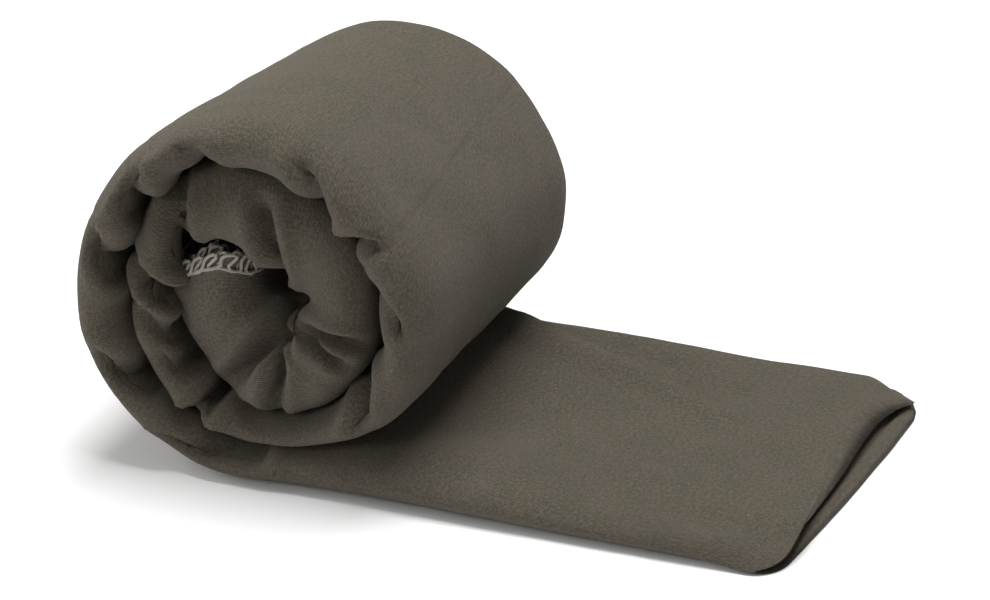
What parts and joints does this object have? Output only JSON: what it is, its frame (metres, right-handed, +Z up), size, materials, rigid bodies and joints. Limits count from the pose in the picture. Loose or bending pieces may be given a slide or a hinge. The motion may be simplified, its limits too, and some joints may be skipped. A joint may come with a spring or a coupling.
{
  "type": "travel towel",
  "caption": "Thin quick-dry travel towel folded to a narrow strip and rolled up, with the end of the strip lying flat.",
  "frame": {"origin": "middle of the roll's foot, on the surface that the towel lies on", "axes": "+X along the flat tail, away from the roll; +Y across the strip, from the folded near edge to the far edge; +Z up"},
  "size_m": [0.1708, 0.1, 0.082],
  "materials": {
    "towel_cloth": "brushed fine-gauge knit, matt with a soft nap",
    "overlock_thread": "light grey overlock thread in close loops"
  },
  "bodies": {
    "roll": {"cover_panel_core": "towel_cloth", "cover_panel_outer_turn": "towel_cloth", "cover_panel_second_turn": "towel_cloth", "cover_panel_start_overlock": "overlock_thread", "far_lower_fold_roll": "towel_cloth", "far_upper_fold_roll": "towel_cloth", "first_flap_core": "towel_cloth", "first_flap_edge_overlock_roll": "overlock_thread", "first_flap_outer_turn": "towel_cloth", "first_flap_second_turn": "towel_cloth", "first_flap_start_overlock": "overlock_thread", "second_flap_core": "towel_cloth", "second_flap_edge_overlock_roll": "overlock_thread", "second_flap_outer_turn": "towel_cloth", "second_flap_second_turn": "towel_cloth", "second_flap_start_overlock": "overlock_thread"},
    "tail": {"cover_panel_tail": "towel_cloth", "far_lower_fold_tail": "towel_cloth", "far_upper_fold_tail": "towel_cloth", "first_flap_edge_overlock_tail": "overlock_thread", "first_flap_tail": "towel_cloth", "second_flap_edge_overlock_tail": "overlock_thread", "second_flap_tail": "towel_cloth"}
  },
  "joints": [
    {"name": "tail_lift", "type": "hinge", "parent": "roll", "child": "tail", "pos_m": [0.0325, 0, 0.0084], "axis": [0, -1, 0], "range_deg": [0, 60]}
  ]
}
